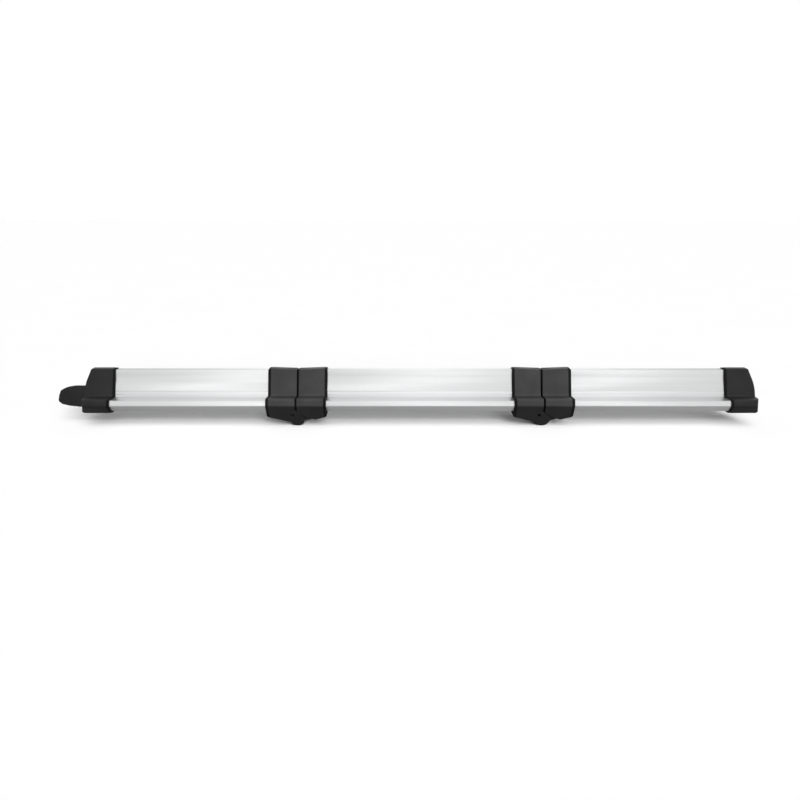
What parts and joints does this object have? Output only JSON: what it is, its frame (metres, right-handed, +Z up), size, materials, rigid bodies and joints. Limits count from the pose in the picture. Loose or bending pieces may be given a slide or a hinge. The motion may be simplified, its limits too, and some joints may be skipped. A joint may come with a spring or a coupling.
{
  "type": "folding bed cargo bar",
  "caption": "Folding pickup bed cargo bar: hollow aluminium beams with a forward nose, joined by black bottom-pivot hinge blocks, black end caps, sprung latch tongue at one end.",
  "frame": {"origin": "centre of the bounding box in plan, at the bottom of the hinge barrels, which the bar stands on", "axes": "+X along the bar away from the latch tongue, -Y towards the projecting nose, +Z up"},
  "size_m": [1.5459, 0.1028, 0.1247],
  "materials": {
    "anodised": "satin clear-anodised extrusion with fine lengthwise draw lines",
    "nylon": "fine-textured glass-filled nylon",
    "cap_nylon": "fine-textured moulded nylon",
    "steel": "zinc-plated steel",
    "black_steel": "black-coated steel",
    "bronze": "oil-filled sintered bronze",
    "rubber": "matt black rubber"
  },
  "bodies": {
    "middle": {"rail_middle": "anodised", "housing_left_inner": "nylon", "housing_right_inner": "nylon", "housing_screws_left_inner": "steel", "housing_screws_right_inner": "steel", "bushing_left": "bronze", "butt_pad_left": "rubber", "butt_pad_right": "rubber", "pivot_bolt_right": "black_steel", "lock_nut_right": "black_steel", "friction_washers_right": "steel", "mouth_seals_middle": "rubber"},
    "left_arm": {"rail_left": "anodised", "housing_left_outer": "nylon", "housing_screws_left_outer": "steel", "pivot_bolt_left": "black_steel", "lock_nut_left": "black_steel", "friction_washers_left": "steel", "end_cap_left": "cap_nylon", "cap_screws_left": "steel", "retainer_plate_left": "steel", "latch_spring": "steel", "mouth_seals_left": "rubber"},
    "right_arm": {"rail_right": "anodised", "housing_right_outer": "nylon", "housing_screws_right_outer": "steel", "bushing_right": "bronze", "end_cap_right": "cap_nylon", "cap_screws_right": "steel", "retainer_plate_right": "steel", "mouth_seals_right": "rubber"},
    "latch": {"latch_tongue": "cap_nylon", "release_knob": "cap_nylon", "knob_screw": "steel"}
  },
  "joints": [
    {"name": "left_fold", "type": "hinge", "parent": "middle", "child": "left_arm", "pos_m": [-0.239, 0, 0.0165], "axis": [0, -1, 0], "range_deg": [0, 180]},
    {"name": "right_fold", "type": "hinge", "parent": "middle", "child": "right_arm", "pos_m": [0.301, 0, 0.0165], "axis": [0, 1, 0], "range_deg": [0, 90]},
    {"name": "latch_slide", "type": "slide", "parent": "left_arm", "child": "latch", "axis": [1, 0, 0], "range_m": [0, 0.016], "stiffness_N_per_m": 500, "springref_m": -0.012, "deforming": ["latch_spring"]}
  ]
}
